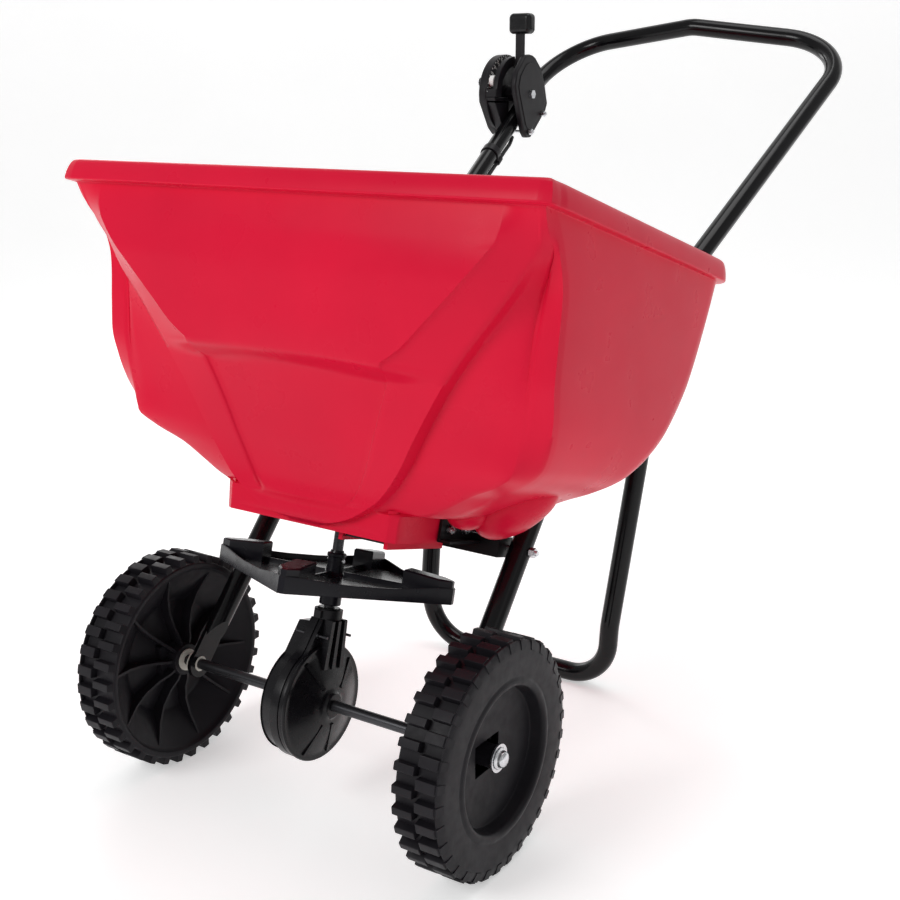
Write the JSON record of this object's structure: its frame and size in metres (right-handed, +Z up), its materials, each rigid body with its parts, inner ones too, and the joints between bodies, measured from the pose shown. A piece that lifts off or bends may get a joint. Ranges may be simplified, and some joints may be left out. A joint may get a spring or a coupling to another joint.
{
  "type": "broadcast garden spreader",
  "caption": "Walk-behind garden spreader with a plastic hopper, tube frame, lugged wheels, geared impeller and a lever with a rate dial.",
  "frame": {"origin": "on the ground, under the centre of the overall bounding box", "axes": "+X to the right of someone pushing, -Y is the way it travels, +Y towards the handle, +Z up"},
  "size_m": [0.614, 1.1073, 0.901],
  "materials": {
    "hopper_red": "moulded plastic, satin gloss",
    "tube_black": "gloss powder coat over steel tube",
    "bracket_black": "satin powder coat over steel sheet",
    "plastic_black": "moulded plastic, fine texture",
    "wheel_black": "moulded polyethylene",
    "impeller_black": "moulded plastic, satin",
    "case_black": "moulded plastic, satin gloss",
    "zinc": "zinc plated",
    "axle_steel": "plain drawn steel bar, oiled dark",
    "nylon": "natural nylon",
    "gear_nylon": "acetal, natural",
    "white_plastic": "moulded plastic",
    "sheath_black": "extruded vinyl sheath"
  },
  "bodies": {
    "chassis": {"main_tube_left": "tube_black", "main_tube_right": "tube_black", "handle_tube": "tube_black", "stand_tube": "tube_black", "hopper_support": "bracket_black", "saddle_left": "plastic_black", "saddle_right": "plastic_black", "handle_bolts": "zinc", "stand_bolts": "zinc", "support_bolts": "zinc", "hopper_bolts": "zinc", "hopper": "hopper_red", "guide_rail_inner": "hopper_red", "guide_rail_outer": "hopper_red", "shaft_bushing": "nylon", "gearcase_left": "case_black", "gearcase_right": "case_black", "gearcase_screws": "zinc", "gearcase_collar": "plastic_black", "axle_bearing_left": "nylon", "axle_bearing_right": "nylon", "dial_housing": "plastic_black", "dial_cover": "plastic_black", "dial_scale": "white_plastic", "dial_bolts": "zinc", "pivot_bolt": "zinc", "control_cable": "sheath_black", "cable_ferrule": "plastic_black", "cable_clips": "plastic_black"},
    "drive_axle": {"axle": "axle_steel", "ring_gear": "gear_nylon", "gear_pin": "zinc", "wheel_right": "wheel_black", "drive_pin": "zinc", "washer_left": "zinc", "washer_right": "zinc", "cap_nut_left": "zinc", "cap_nut_right": "zinc"},
    "free_wheel": {"wheel_left": "wheel_black", "wheel_bushing": "nylon"},
    "impeller_group": {"impeller_shaft": "axle_steel", "pinion": "gear_nylon", "impeller": "impeller_black", "impeller_pin": "zinc", "agitator": "zinc"},
    "shutoff_slide": {"slide_plate": "plastic_black", "pull_wire": "zinc"},
    "control_lever": {"lever_arm": "plastic_black", "lever_knob": "plastic_black"},
    "rate_pointer": {"rate_stop": "white_plastic", "stop_nut": "plastic_black"}
  },
  "joints": [
    {"name": "axle_spin", "type": "hinge", "parent": "chassis", "child": "drive_axle", "pos_m": [0, -0.42672, 0.127], "axis": [1, 0, 0], "continuous": true},
    {"name": "free_wheel_spin", "type": "hinge", "parent": "chassis", "child": "free_wheel", "pos_m": [0, -0.42672, 0.127], "axis": [1, 0, 0], "continuous": true},
    {"name": "impeller_spin", "type": "hinge", "parent": "chassis", "child": "impeller_group", "pos_m": [0, -0.42672, 0.127], "axis": [0, 0.2672, 0.9636], "continuous": true},
    {"name": "lever_swing", "type": "hinge", "parent": "chassis", "child": "control_lever", "pos_m": [-0.235, 0.38628, 0.779], "axis": [1, 0, 0], "range_deg": [0, 55]},
    {"name": "slide_travel", "type": "slide", "parent": "chassis", "child": "shutoff_slide", "axis": [0, 0.9636, -0.2672], "range_m": [0, 0.018]},
    {"name": "rate_set", "type": "hinge", "parent": "chassis", "child": "rate_pointer", "pos_m": [-0.235, 0.38628, 0.779], "axis": [1, 0, 0], "range_deg": [-60, 0]}
  ],
  "couplings": [
    {"joint": "impeller_spin", "follows": "axle_spin", "ratio": 4},
    {"joint": "slide_travel", "follows": "lever_swing", "m_per_rad": 0.01875}
  ]
}
